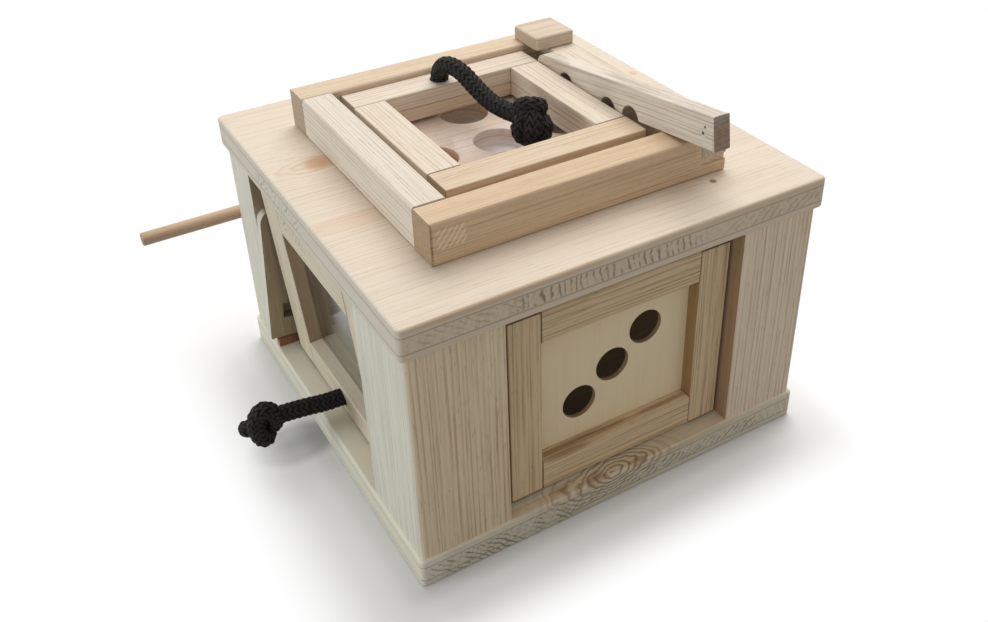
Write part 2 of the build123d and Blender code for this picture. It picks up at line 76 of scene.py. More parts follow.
def place_camera():
    """A 39 mm lens looking down over the box's front left corner."""
    lens = bpy.data.cameras.new("camera")
    lens.sensor_width = 36.0
    lens.lens = 38.74
    lens.shift_x = -0.0239
    lens.shift_y = -0.0742
    lens.clip_start = 0.01
    camera = add_object("camera", lens)
    level = math.cos(CAMERA_ELEVATION)
    back = Vector(
        (
            math.sin(CAMERA_AZIMUTH) * level,
            -math.cos(CAMERA_AZIMUTH) * level,
            math.sin(CAMERA_ELEVATION),
        )
    )
    side = Vector((0, 0, 1)).cross(back).normalized()
    rise = back.cross(side)
    right = side * math.cos(CAMERA_ROLL) + rise * math.sin(CAMERA_ROLL)
    up = rise * math.cos(CAMERA_ROLL) - side * math.sin(CAMERA_ROLL)
    turn = Matrix((right, up, back)).transposed()
    camera.matrix_world = Matrix.Translation(CAMERA_PLACE) @ turn.to_4x4()
    bpy.context.scene.camera = camera


# ------------------------------------------------------------------ shader building
class Shader:
    """A material, or the world, whose nodes are made and joined by short calls."""

    def __init__(self, name, kind="materials"):
        self.made = getattr(bpy.data, kind).new(name)
        self.made.use_nodes = True
        self.tree = self.made.node_tree
        self.tree.nodes.clear()

    def node(self, kind, **settings):
        made = self.tree.nodes.new(kind)
        for key, value in settings.items():
            setattr(made, key, value)
        return made

    def feed(self, socket, value):
        """Join an output to a socket, or set the socket to a constant."""
        if isinstance(value, bpy.types.NodeSocket):
            self.tree.links.new(value, socket)
        else:
            socket.default_value = value

    def math(self, operation, *values, clamp=False):
        made = self.node("ShaderNodeMath", operation=operation, use_clamp=clamp)
        for socket, value in zip(made.inputs, values):
            self.feed(socket, value)
        return made.outputs[0]

    def product(self, first, *others):
        for other in others:
            first = self.math("MULTIPLY", first, other)
        return first

    def between(self, value, low, high):
        """A mask that is 1 where a value lies between two limits."""
        return self.product(self.math("GREATER_THAN", value, low), self.math("LESS_THAN", value, high))

    def off_from(self, value, middle, unit):
        """How far a value is from a middle, either way, in units."""
        off = self.math("ABSOLUTE", self.math("SUBTRACT", value, middle))
        return self.math("DIVIDE", off, unit)

    def vector(self, operation, *values):
        made = self.node("ShaderNodeVectorMath", operation=operation)
        for socket, value in zip(made.inputs, values):
            self.feed(socket, value)
        return made.outputs["Value" if operation in ("LENGTH", "DISTANCE") else "Vector"]

    def scaled(self, vector, factors):
        return self.vector("MULTIPLY", vector, factors)

    def mix(self, factor, first, second, blend="MIX"):
        made = self.node("ShaderNodeMix", data_type="RGBA", blend_type=blend)
        self.feed(made.inputs["Factor"], factor)
        self.feed(made.inputs[6], first)
        self.feed(made.inputs[7], second)
        return made.outputs[2]

    def tinted(self, colour, tint):
        return self.mix(1.0, colour, tint, "MULTIPLY")

    def noise(self, vector, scale, detail=2.0, roughness=0.5, kind="Fac"):
        made = self.node("ShaderNodeTexNoise")
        self.feed(made.inputs["Vector"], vector)
        made.inputs["Scale"].default_value = scale
        made.inputs["Detail"].default_value = detail
        made.inputs["Roughness"].default_value = roughness
        return made.outputs[kind]

    def pattern(self, place, pattern, kind="Fac"):
        """A noise stretched by a pattern's rates."""
        stretched = self.scaled(place, pattern.rates)
        return self.noise(stretched, 1.0, pattern.detail, pattern.roughness, kind)

    def ramp(self, factor, *stops):
        """A smooth change of value through (place, value) stops."""
        made = self.node("ShaderNodeValToRGB")
        made.color_ramp.interpolation = "EASE"
        while len(made.color_ramp.elements) < len(stops):
            made.color_ramp.elements.new(0.5)
        for element, (place, value) in zip(made.color_ramp.elements, stops):
            element.position = place
            element.color = (value, value, value, 1)
        self.feed(made.inputs[0], factor)
        return made.outputs[0]

    def separate(self, vector):
        made = self.node("ShaderNodeSeparateXYZ")
        self.feed(made.inputs[0], vector)
        return made.outputs

    def combine(self, x, y, z):
        made = self.node("ShaderNodeCombineXYZ")
        for socket, value in zip(made.inputs, (x, y, z)):
            self.feed(socket, value)
        return made.outputs[0]

    def place(self, here, location, rotation):
        """Coordinates turned and moved so that a board's grain runs along Z."""
        made = self.node("ShaderNodeMapping", vector_type="TEXTURE")
        made.inputs["Location"].default_value = location
        made.inputs["Rotation"].default_value = rotation
        self.feed(made.inputs["Vector"], here)
        return made.outputs[0]

    def object_place(self):
        return self.node("ShaderNodeTexCoord").outputs["Object"]

    def bump(self, height, strength, distance):
        made = self.node("ShaderNodeBump")
        made.inputs["Strength"].default_value = strength
        made.inputs["Distance"].default_value = distance
        self.feed(made.inputs["Height"], height)
        return made.outputs[0]

    def shown_to_eye(self):
        """A mask that is 1 for what the camera sees, straight or in a reflection."""
        rays = self.node("ShaderNodeLightPath").outputs
        return self.math("MAXIMUM", rays["Is Camera Ray"], rays["Is Glossy Ray"])

    def either(self, share, first, second):
        """One shader that turns into another as the share goes from 0 to 1."""
        made = self.node("ShaderNodeMixShader")
        for socket, value in zip(made.inputs, (share, first, second)):
            self.feed(socket, value)
        return made.outputs[0]

    def shaded(self, kind, **sockets):
        """A shader node with each socket fed or set."""
        made = self.node(kind)
        for key, value in sockets.items():
            self.feed(made.inputs[key.replace("_", " ")], value)
        return made.outputs[0]

    def output(self, shader, kind="ShaderNodeOutputMaterial"):
        self.feed(self.node(kind).inputs[0], shader)
        return self.made


def srgb(red, green, blue):
    """A colour given as it looks on a screen, 0 to 255."""
    channels = []
    for value in (red, green, blue):
        part = value / 255
        channels.append(part / 12.92 if part <= 0.04045 else ((part + 0.055) / 1.055) ** 2.4)
    return (*channels, 1.0)


def dress(name, material):
    """Give a CAD node its only material."""
    slots = nodes[name].data.materials
    slots.clear()
    slots.append(material)


# ------------------------------------------------------------------ how wood looks
# Turns that lay each axis along Z, the way the wood's patterns run
GRAIN = {"x": (0, math.pi / 2, 0), "y": (-math.pi / 2, 0, 0), "z": (0, 0, 0)}

# A pattern's rates say how often it comes in a metre: twice across the grain, then along it
Pattern = namedtuple("Pattern", "rates detail roughness")
WAVES = Pattern((11, 11, 2.6), 3.0, 0.5)
CLOUDS = Pattern((14, 14, 6), 3.0, 0.6)
STREAKS = Pattern((230, 230, 5), 3.0, 0.6)
FIBRES = Pattern((520, 520, 14), 2.0, 0.55)
HAIRS = Pattern((1700, 1700, 34), 2.0, 0.6)
PORES = Pattern((1100, 1100, 110), 1.0, 0.5)

# How much each pattern darkens the wood, as a share of a piece's fibre or blotch
STREAK_SHARE = 4.0
FIBRE_SHARE = 4.5
HAIR_SHARE = 4.0
CLOUD_SHARE = 2.4

YEAR_RATE = 90.0  # how often the years go from wide to narrow, in a metre
YEAR_LINES = 4  # how many growth lines such a change shifts
HAIR_HEIGHT = 0.6
LATE_HEIGHT = 0.5
GRAIN_BUMP = 0.2
GRAIN_DEPTH = 0.0003
SANDED_ROUGHNESS = 0.62
LATE_ROUGHNESS = -0.1  # the hard late wood is a little glossier
SANDED_GLOSS = 0.22
END_WARMTH = (1.0, 0.98, 0.95)  # end grain is darker, and warmer by this

# In a knot's radii: how far it pushes the grain aside, from how far out, and how far its stain goes
KNOT_PUSH = 1.2
KNOT_REACH = 4
KNOT_STAIN = 1.5
STROKE_INSET = 0.0005  # a row of strokes has its middle this far under the face
STROKE_REACH = 0.004  # and ends this far from there, into the board
# Ragged strokes wander, and some are left out
STROKE_WOBBLE = 2.2
STROKE_WOBBLE_RATE = 70.0
STROKE_GAPS = 0.85
STROKE_GAP_RATE = 150.0
WHORL_WOBBLE = 0.3
WHORL_WOBBLE_RATE = 60.0
SPOT_ON_PALE = 0.6  # how strong a stain is on pale wood, and how much more on dark
SPOT_ON_DARK = 0.7
CORE_PLY = 0.011  # thickness of the plywood's middle layer
CORE_PITH = Vector((0.02, 0.0, -0.045))  # from that layer's lower face
CORE_LINES = {"spacing": 0.0042, "wander": 0.012, "contrast": 0.4}
GLUE_WIDTH = 0.0007
JOINT_WIDTH = 0.0009
ROOM_SKIN = 0.0004  # the painted shade inside the box takes in the faces round it

GLUE = srgb(96, 80, 66)
# painted shade in the gaps where pieces meet
JOINT_GAP_SHADE = srgb(70, 48, 34)
# painted shade on every face inside the box
PAINTED_INSIDE_SHADE = (0.42, 0.34, 0.27, 1)
# painted shade on side faces turned away from a piece's face axis
PAINTED_SIDE_SHADE = (0.58, 0.49, 0.40, 1)

Knot = namedtuple("Knot", "centre radius depth shade")
Spot = namedtuple("Spot", "centre size depth shade")
Whorl = namedtuple("Whorl", "centre size turns depth shade")
Strokes = namedtuple(
    "Strokes",
    "face along height half_length half_height pitch slant depth shade width ragged",
    defaults=(0.25, 1.0),
)
FACES = {"front": (0, 1), "left": (1, 0)}  # the axis along each face, and the axis out of it


def figure(shader, place, spacing, wander, contrast, fibre, blotch, flecks):
    """How dark the wood is, how high it stands and where its late wood lies."""
    waves = shader.pattern(place, WAVES, "Color")
    shift = shader.scaled(shader.vector("SUBTRACT", waves, (0.5, 0.5, 0.5)), (wander, wander, 0))
    bent = shader.vector("ADD", place, shift)
    across = shader.vector("LENGTH", shader.scaled(bent, (1, 1, 0)))
    years = shader.noise(shader.combine(across, 0, 0), YEAR_RATE)
    count = shader.math("MULTIPLY_ADD", years, spacing * YEAR_LINES, across)
    line = shader.math("FRACT", shader.math("DIVIDE", count, spacing))
    late = shader.ramp(line, (0.0, 0.0), (0.35, 0.2), (0.7, 1.0), (0.85, 0.85), (1.0, 0.0))
    hairs = shader.pattern(bent, HAIRS)
    fibres = shader.pattern(bent, FIBRES)
    broken = shader.ramp(fibres, (0.3, 0.3), (0.65, 1.0))
    dark = shader.product(late, broken, contrast)
    for pattern, share in (
        (fibres, fibre * FIBRE_SHARE),
        (shader.pattern(bent, STREAKS), fibre * STREAK_SHARE),
        (shader.pattern(place, CLOUDS), blotch * CLOUD_SHARE),
        (hairs, fibre * HAIR_SHARE),
    ):
        dark = shader.math("MULTIPLY_ADD", shader.math("SUBTRACT", pattern, 0.5), share, dark)
    pores = shader.ramp(shader.pattern(bent, PORES), (0.62, 0.0), (0.72, 1.0))
    dark = shader.math("ADD", dark, shader.math("MULTIPLY", pores, flecks), clamp=True)
    height = shader.math(
        "SUBTRACT",
        shader.math("MULTIPLY", hairs, HAIR_HEIGHT),
        shader.math("MULTIPLY", late, LATE_HEIGHT),
    )
    return dark, height, late


def core_figure(shader, here, dark, plies, fibre, blotch, flecks):
    """Plywood's middle layer has a figure of its own, which runs across the outer layers."""
    level = shader.separate(here)[2]
    cross = shader.place(here, CORE_PITH + Vector((0.0, 0.0, plies[0])), GRAIN["y"])
    core = figure(shader, cross, **CORE_LINES, fibre=fibre, blotch=blotch, flecks=flecks)[0]
    swap = shader.node("ShaderNodeMix", data_type="FLOAT")
    shader.feed(swap.inputs[0], shader.between(level, *plies))
    shader.feed(swap.inputs[2], dark)
    shader.feed(swap.inputs[3], core)
    return swap.outputs[0]


def reach_from(shader, here, centre, size):
    """How far out a place is: 0 at a centre, and 1 on an ellipsoid round it."""
    apart = shader.vector("SUBTRACT", here, centre)
    return shader.vector("LENGTH", shader.scaled(apart, tuple(1 / value for value in size)))


def soft_spot(shader, here, centre, size):
    """A mask that is 1 at a centre and fades out at an ellipsoid's surface."""
    return shader.ramp(reach_from(shader, here, centre, size), (0.0, 1.0), (0.55, 0.75), (1.0, 0.0))


def round_knots(shader, here, place, knots):
    """The grain's coordinates, pushed aside round each knot."""
    for knot in knots:
        apart = shader.vector("DISTANCE", here, knot.centre)
        reach = shader.math("DIVIDE", apart, knot.radius * KNOT_REACH)
        push = shader.math("MULTIPLY", shader.ramp(reach, (0.0, 1.0), (1.0, 0.0)), knot.radius * KNOT_PUSH)
        place = shader.vector("ADD", place, shader.combine(push, push, 0))
    return place


def slanted_strokes(shader, here, name, row):
    """A mask for a row of slanted strokes on a piece's front or left face."""
    run, out = FACES[row.face]
    centre = Vector((0.0, 0.0, row.height))
    centre[run] = row.along
    centre[out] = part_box(name)[0][out] + STROKE_INSET
    half = Vector((STROKE_REACH, STROKE_REACH, row.half_height))
    half[run] = row.half_length
    axes = shader.separate(here)
    slope = shader.math("ADD", axes[run], shader.math("MULTIPLY", axes[2], row.slant))
    wobble = shader.noise(here, STROKE_WOBBLE_RATE)
    count = shader.math(
        "MULTIPLY_ADD", wobble, row.ragged * STROKE_WOBBLE, shader.math("DIVIDE", slope, row.pitch)
    )
    stroke = shader.ramp(
        shader.math("FRACT", count),
        (0.0, 0.0),
        (0.5 - row.width, 0.1),
        (0.5, 1.0),
        (0.5 + row.width, 0.1),
    )
    gaps = shader.noise(here, STROKE_GAP_RATE)
    kept = shader.ramp(gaps, (0.36, 1.0 - row.ragged * STROKE_GAPS), (0.56, 1.0))
    edges = [
        shader.ramp(shader.off_from(axes[axis], centre[axis], half[axis]), (0.72, 1.0), (1.0, 0.0))
        for axis in range(3)
    ]
    return shader.product(stroke, kept, *edges)


def marked(shader, here, name, colour, dark, knots, spots, strokes, whorls):
    """A wood's colour with its knots, stains, strokes and whorls laid over it."""
    for knot in knots:
        apart = shader.math("DIVIDE", shader.vector("DISTANCE", here, knot.centre), knot.radius * KNOT_STAIN)
        colour = shader.mix(shader.ramp(apart, (0.35, knot.depth), (1.0, 0.0)), colour, srgb(*knot.shade))
    for spot in spots:
        mask = shader.math("MULTIPLY", soft_spot(shader, here, spot.centre, spot.size), spot.depth)
        uneven = shader.math("MULTIPLY_ADD", dark, SPOT_ON_DARK, SPOT_ON_PALE)
        mask = shader.math("MULTIPLY", mask, uneven, clamp=True)
        colour = shader.mix(mask, colour, srgb(*spot.shade))
    for row in strokes:
        mask = shader.math("MULTIPLY", slanted_strokes(shader, here, name, row), row.depth)
        colour = shader.mix(mask, colour, srgb(*row.shade))
    for whorl in whorls:
        wobble = shader.noise(here, WHORL_WOBBLE_RATE)
        reach = reach_from(shader, here, whorl.centre, whorl.size)
        reach = shader.math("MULTIPLY_ADD", wobble, WHORL_WOBBLE, reach)
        turn = shader.math("FRACT", shader.math("MULTIPLY", reach, whorl.turns))
        ring = shader.ramp(turn, (0.3, 0.0), (0.75, 1.0), (1.0, 0.2))
        mask = shader.product(ring, shader.ramp(reach, (0.35, 1.0), (1.3, 0.0)), whorl.depth)
        colour = shader.mix(mask, colour, srgb(*whorl.shade))
    return colour


def glue_lines(shader, here, colour, plies):
    """The dark lines of glue between plywood's layers."""
    level = shader.separate(here)[2]
    for face in plies:
        line = shader.ramp(shader.off_from(level, face, GLUE_WIDTH), (0.3, 0.4), (1.0, 0.0))
        colour = shader.mix(line, colour, GLUE)
    return colour


def painted_inside_shade(shader, here, colour):
    """Painted shade: every face inside the box is darker."""
    skin = Vector((ROOM_SKIN, ROOM_SKIN, ROOM_SKIN))
    left_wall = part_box("left_front_board")[1].x
    front_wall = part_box("front_left_board")[1].y
    right_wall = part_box("right_wall_board")[0].x
    back_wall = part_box("back_wall_board")[0].y
    low = Vector((left_wall, front_wall, base_high.z)) - skin
    high = Vector((right_wall, back_wall, top_low.z)) + skin
    axes = shader.separate(here)
    room = shader.product(*[shader.between(axes[axis], low[axis], high[axis]) for axis in range(3)])
    return shader.mix(room, colour, shader.tinted(colour, PAINTED_INSIDE_SHADE))


def painted_joint_shade(shader, here, name, colour, axis, joint, end_grain):
    """A thin dark line of painted shade in the gap where a piece's ends meet the pieces beside it."""
    low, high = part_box(name)
    along = shader.separate(here)[axis]
    near = shader.math(
        "MINIMUM",
        shader.off_from(along, low[axis], JOINT_WIDTH),
        shader.off_from(along, high[axis], JOINT_WIDTH),
    )
    line = shader.ramp(near, (0.35, joint), (1.0, 0.0))
    line = shader.math("MULTIPLY", line, shader.math("SUBTRACT", 1.0, end_grain))
    return shader.mix(line, colour, JOINT_GAP_SHADE)


def wood(
    name,
    tone,
    grain="z",
    pith=(0.05, 0.03, 0.0),
    spacing=0.0024,
    wander=0.006,
    contrast=0.5,
    fibre=0.12,
    blotch=0.10,
    flecks=0.25,
    knots=(),
    spots=(),
    strokes=(),
    whorls=(),
    plywood=False,
    joint=0.0,
    inside=False,
    face_axis="",
    end_shade=0.75,
    turn=0.0,
):
    """Dress a CAD node in sanded wood whose growth lines run through the piece along its grain."""
    shader = Shader(f"wood_{name}")
    coordinates = shader.node("ShaderNodeTexCoord")
    here = coordinates.outputs["Object"]
    normal = shader.separate(coordinates.outputs["Normal"])
    level = here
    if turn:
        tilt = shader.node("ShaderNodeVectorRotate", rotation_type="X_AXIS")
        shader.feed(tilt.inputs["Vector"], here)
        tilt.inputs["Angle"].default_value = turn
        level = tilt.outputs[0]
    place = round_knots(shader, here, shader.place(level, pith, GRAIN[grain]), knots)
    dark, height, late = figure(shader, place, spacing, wander, contrast, fibre, blotch, flecks)
    low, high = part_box(name)
    middle = (low.z + high.z) / 2
    plies = (middle - CORE_PLY / 2, middle + CORE_PLY / 2)
    if plywood:
        dark = core_figure(shader, here, dark, plies, fibre, blotch, flecks)
    pale_tone, dark_tone = tone
    colour = shader.mix(dark, srgb(*pale_tone), srgb(*dark_tone))
    colour = marked(shader, here, name, colour, dark, knots, spots, strokes, whorls)
    if plywood:
        colour = glue_lines(shader, here, colour, plies)
    # painted shade on the faces inside the box
    if inside:
        colour = painted_inside_shade(shader, here, colour)
    # painted shade: faces turned away from this axis, such as reveals, inner edges and hole walls, are
    # darkened
    if face_axis:
        flat = shader.math("ABSOLUTE", normal[AXES.index(face_axis)])
        side = shader.ramp(flat, (0.4, 1.0), (0.8, 0.0))
        colour = shader.mix(side, colour, shader.tinted(colour, PAINTED_SIDE_SHADE))
    axis = AXES.index(grain)
    end_grain = shader.ramp(shader.math("ABSOLUTE", normal[axis]), (0.75, 0.0), (0.95, 1.0))
    if joint:
        colour = painted_joint_shade(shader, here, name, colour, axis, joint, end_grain)
    end_tint = (*(end_shade * part for part in END_WARMTH), 1)
    colour = shader.mix(end_grain, colour, shader.tinted(colour, end_tint))
    surface = shader.shaded(
        "ShaderNodeBsdfPrincipled",
        Base_Color=colour,
        Roughness=shader.math("MULTIPLY_ADD", late, LATE_ROUGHNESS, SANDED_ROUGHNESS),
        Specular_IOR_Level=SANDED_GLOSS,
        Normal=shader.bump(height, GRAIN_BUMP, GRAIN_DEPTH),
    )
    dress(name, shader.output(surface))


# ------------------------------------------------------------------ how a rope is made
ROPE_RADIUS = 0.006
POINT_STEP = 0.0015
FEWEST_STEPS = 8
STRANDS = 9  # wound each way
LAY = 0.036  # the run in which a strand goes once round
CHEVRONS = 6  # columns of chevrons round the rope
STRAND_COVER = 0.56  # a strand's half width, as a share of its room
STRAND_HALF_DEPTH = 0.115  # as a share of the rope's radius
STRAND_SIDES = 8
STRAND_SINK = 1.3  # how deep a strand lies and how far it comes up, in its half depths
STRAND_RISE = 0.9
STRAND_BULGE = 1.1
CORE_SHARE = 0.84
CORE_SIDES = 12
BLUNT_RUN = 0.5  # the run in which a blunt end closes, in radii
BLUNT_REACH = 0.35
SWELL_RUN = 0.022  # the run in which a rope that swells at its exit comes down to size
WRAP_UNIT = 0.01  # one step of the strands' own map along the rope
STRAND_TOP = 0.25  # where the map's other way has a strand's outer side, which gets the painted highlight, and how wide that is
STRAND_TOP_WIDTH = 0.22
FILAMENTS = Pattern((22, 2.2, 0), 2.0, 0.6)
FILAMENT_SHARE = 0.7
FILAMENT_BUMP = 0.5
FILAMENT_DEPTH = 0.0004
DUST_RATE = 260.0
YARN_BLACK = srgb(4, 4, 5)
YARN_HIGHLIGHT = srgb(64, 62, 59)
YARN_ROUGHNESS = 0.7
YARN_GLOSS = 0.14


def spline_points(name, route):
    """Even points along a smooth curve through a route, read from the curve itself."""
    data = bpy.data.curves.new(name, "CURVE")
    data.dimensions = "3D"
    data.resolution_u = 24
    spline = data.splines.new("NURBS")
    spline.points.add(len(route) - 1)
    for point, place in zip(spline.points, route):
        point.co = (*place, 1.0)
    spline.order_u = 3
    spline.use_endpoint_u = True
    holder = bpy.data.objects.new(name, data)
    mesh = bpy.data.meshes.new_from_object(holder)
    line = [vertex.co.copy() for vertex in mesh.vertices]
    bpy.data.meshes.remove(mesh)
    bpy.data.objects.remove(holder)
    bpy.data.curves.remove(data)
    return evenly(line)


def runs_along(line):
    """How far along a line each of its points is."""
    runs = [0.0]
    for start, finish in zip(line, line[1:]):
        runs.append(runs[-1] + (finish - start).length)
    return runs


def evenly(line):
    """The same line with its points a fixed step apart."""
    runs = runs_along(line)
    count = max(FEWEST_STEPS, round(runs[-1] / POINT_STEP))
    spaced = []
    index = 0
    for number in range(count + 1):
        target = runs[-1] * number / count
        while index < len(line) - 2 and runs[index + 1] < target:
            index += 1
        run = runs[index + 1] - runs[index]
        share = (target - runs[index]) / run if run else 0.0
        spaced.append(line[index].lerp(line[index + 1], share))
    return spaced


def frames_along(line):
    """Directions along and across a line, without any twist of their own."""
    tangents = []
    for index in range(len(line)):
        ahead = line[min(index + 1, len(line) - 1)]
        behind = line[max(index - 1, 0)]
        tangents.append((ahead - behind).normalized())
    across = tangents[0].orthogonal().normalized()
    result = []
    for tangent in tangents:
        across = (across - tangent * across.dot(tangent)).normalized()
        result.append((tangent, across, tangent.cross(across)))
    return result


def oval(mesh, middle, first, second, sides):
    """A ring of vertices whose half axes are two vectors."""
    ring = []
    for side in range(sides):
        turn = 2 * math.pi * side / sides
        ring.append(mesh.verts.new(middle + first * math.cos(turn) + second * math.sin(turn)))
    return ring


def tube(mesh, rings, wrap=None, runs=None):
    """Skin a row of rings and close its ends; wrap is the map that yarn follows along a strand."""
    for index, (first, second) in enumerate(zip(rings, rings[1:])):
        sides = len(first)
        for side in range(sides):
            corner = (side + 1) % sides
            face = mesh.faces.new((first[side], first[corner], second[corner], second[side]))
            face.smooth = True
            if wrap:
                near, far = (runs[index] / WRAP_UNIT, runs[index + 1] / WRAP_UNIT)
                low, high = (side / sides, (side + 1) / sides)
                for loop, place in zip(face.loops, ((low, near), (high, near), (high, far), (low, far))):
                    loop[wrap].uv = place
    mesh.faces.new(list(reversed(rings[0])))
    mesh.faces.new(rings[-1])


def end_share(run, radius):
    """How full a blunt end is at a run from its tip."""
    return min(1.0, run / (radius * BLUNT_RUN)) ** 0.5


def braid(name, line, radius=ROPE_RADIUS, blunt=False, swell=0.0):
    """A round braid: strands wind both ways round the rope and come to the top in rows of chevrons."""
    mesh = bmesh.new()
    wrap = mesh.loops.layers.uv.new("wrap")
    frames = frames_along(line)
    runs = runs_along(line)
    pitch = math.atan2(2 * math.pi * radius, LAY)
    half_width = LAY / STRANDS * math.sin(pitch) * STRAND_COVER
    half_depth = radius * STRAND_HALF_DEPTH
    for hand in (1, -1):
        for strand in range(STRANDS):
            rings = []
            for middle, run, (tangent, across, up) in zip(line, runs, frames):
                angle = hand * 2 * math.pi * run / LAY + 2 * math.pi * strand / STRANDS
                weave = math.cos(CHEVRONS * angle) * hand
                full = end_share(min(run, runs[-1] - run), radius) if blunt else 1.0
                size = radius * (1.0 + swell * max(0.0, 1.0 - run / SWELL_RUN))
                out = across * math.cos(angle) + up * math.sin(angle)
                around = up * math.cos(angle) - across * math.sin(angle)
                reach = size + half_depth * (STRAND_RISE * weave - STRAND_SINK)
                reach *= BLUNT_REACH + (1.0 - BLUNT_REACH) * full
                broad = around * math.cos(pitch) - tangent * hand * math.sin(pitch)
                rings.append(
                    oval(
                        mesh,
                        middle + out * reach,
                        broad * half_width,
                        out * (half_depth * STRAND_BULGE),
                        STRAND_SIDES,
                    )
                )
            tube(mesh, rings, wrap, runs)
    filling = radius * CORE_SHARE  # a plain core, so that no light shows through the braid
    tube(
        mesh,
        [
            oval(mesh, middle, across * filling, up * filling, CORE_SIDES)
            for middle, (tangent, across, up) in zip(line[::2], frames[::2])
        ],
    )
    bmesh.ops.recalc_face_normals(mesh, faces=mesh.faces)
    return add_mesh(name, mesh)


def rope_cloth():
    """Black polyester yarn with fine filaments along each strand, with a painted highlight where a strand
    stands out and painted shade between the strands.
    """
    shader = Shader("black_braid")
    wrap = shader.node("ShaderNodeUVMap", uv_map="wrap").outputs[0]
    off_top = shader.off_from(shader.separate(wrap)[0], STRAND_TOP, STRAND_TOP_WIDTH)
    # painted highlight on each strand's top, uneven along the filaments; the sides stay black as painted
    # shade
    painted_crest_light = shader.ramp(off_top, (0.0, 1.0), (0.9, 0.05))
    filaments = shader.pattern(wrap, FILAMENTS)
    dust = shader.noise(shader.object_place(), DUST_RATE, 3.0, 0.6)
    dust = shader.math("MULTIPLY", dust, 1.0 - FILAMENT_SHARE)
    tone = shader.math("MULTIPLY_ADD", filaments, FILAMENT_SHARE, dust)
    painted_highlight = shader.math("MULTIPLY", shader.ramp(tone, (0.34, 0.25), (0.66, 1.0)), painted_crest_light)
    yarn = shader.shaded(
        "ShaderNodeBsdfPrincipled",
        Base_Color=shader.mix(painted_highlight, YARN_BLACK, YARN_HIGHLIGHT),
        Roughness=YARN_ROUGHNESS,
        Specular_IOR_Level=YARN_GLOSS,
        Normal=shader.bump(filaments, FILAMENT_BUMP, FILAMENT_DEPTH),
    )
    return shader.output(yarn)


# ------------------------------------------------------------------ the two ropes
# Directions in which the knots are tied: to the right, towards the front left corner, and up
RIGHT = Vector((0.865, -0.502, 0.0))
NEAR = Vector((-0.502, -0.865, 0.0))
UP = Vector((0.0, 0.0, 1.0))
MILLIMETRE = 0.001
TURN_POINTS = 12
BALL_GROWTH = 0.7  # how much further out, in millimetres, a ball's last turn lies than its first
LID_KNOT_PLACE = Vector((0.0123, -0.0179, 0.2168))
LEFT_KNOT_PLACE = Vector((-0.1920, -0.0010, 0.0440))
STOP_KNOT_PLACE = Vector((-0.1030, 0.0015, 0.0384))


def ball_turns(turns, first, last, reach):
    """Upright turns that cover a ball, each a little further round than the one before."""
    steps = []
    count = round(turns * TURN_POINTS)
    for number in range(count + 1):
        share = number / count
        angle = math.radians(-90 - 360 * turns * share)
        facing = math.radians(first + (last - first) * share)
        size = reach + BALL_GROWTH * share
        flat = size * math.sin(angle)
        steps.append((flat * math.sin(facing), flat * math.cos(facing), size * math.cos(angle)))
    return steps


def tie(name, middle, steps, radius=ROPE_RADIUS * 0.96):
    """A knot whose rope takes steps from its middle, to the right, near and up, in millimetres."""
    route = [middle + (RIGHT * right + NEAR * near + UP * up) * MILLIMETRE for right, near, up in steps]
    return braid(name, spline_points(f"{name}_line", route), radius=radius, blunt=True)


place_camera()

lid_route = [
    (-0.0099, 0.0713, 0.2105),
    (-0.0099, 0.0713, 0.22596),
    (-0.0099, 0.0605, 0.23748),
    (-0.00546, 0.04502, 0.2370),
    (-0.00102, 0.02954, 0.2265),
    (0.0045, 0.01094, 0.21852),
    (0.01146, -0.00802, 0.2190),
]
left_route = [
    (-0.10771, 0.0015, 0.03807),
    (-0.13972, 0.0015, 0.03567),
    (-0.16628, 0.00078, 0.0416),
    (-0.18968, 0.00006, 0.04364),
]
lid_line = spline_points("lid_rope_line", lid_route)
lid_cord = braid("lid_cord", lid_line, swell=0.12)
left_line = spline_points("left_rope_line", left_route)
left_cord = braid("left_cord", left_line)
lid_knot = tie(
    "lid_knot",
    LID_KNOT_PLACE,
    [
        (-5.7, -8.1, 2.2),
        (-8.0, -6.5, 9.0),
        (-5.5, -1.0, 13.5),
        (0.0, 1.5, 15.0),
        (5.5, -1.5, 12.0),
        (5.0, -9.0, 9.5),
        (-2.0, -11.5, 7.0),
        *ball_turns(2.5, -90, 60, 9.4),
        (2.0, 1.0, 6.0),
        (0.0, 0.0, 0.0),
    ],
)
left_knot = tie(
    "left_knot",
    LEFT_KNOT_PLACE,
    [
        (0.4, -1.0, 0.6),
        (-1.0, -5.5, 1.0),
        (-1.5, -6.0, -5.5),
        (2.5, -4.5, -8.5),
        (6.5, -2.0, -5.0),
        (8.0, -1.5, 2.0),
        (7.0, 1.5, 10.0),
        (2.0, 4.0, 13.5),
        (-3.0, 7.0, 8.5),
        (-3.5, 8.5, 0.0),
        (-1.5, 8.0, -8.5),
        (1.5, 2.5, -14.0),
        (1.0, -4.0, -9.0),
        (-6.0, -4.0, -7.5),
        (-17.5, -2.0, -10.5),
    ],
)
stop_knot = tie(
    "stop_knot",
    STOP_KNOT_PLACE,
    [(-4.0, 0.0, 0.0), *ball_turns(1.5, -60, 60, 5.2), (0.0, 0.0, 0.0)],
    radius=0.0052,
)

black_braid = rope_cloth()
for piece, body, replaced in (
    (lid_cord, "lid", "lid_rope"),
    (lid_knot, "lid", "lid_rope_knot"),
    (left_cord, "left_flap", "left_flap_rope"),
    (left_knot, "left_flap", "left_rope_knot"),
    (stop_knot, "left_flap", "inner_rope_knot"),
):
    piece.data.materials.append(black_braid)
    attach(piece, body)
    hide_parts(replaced)


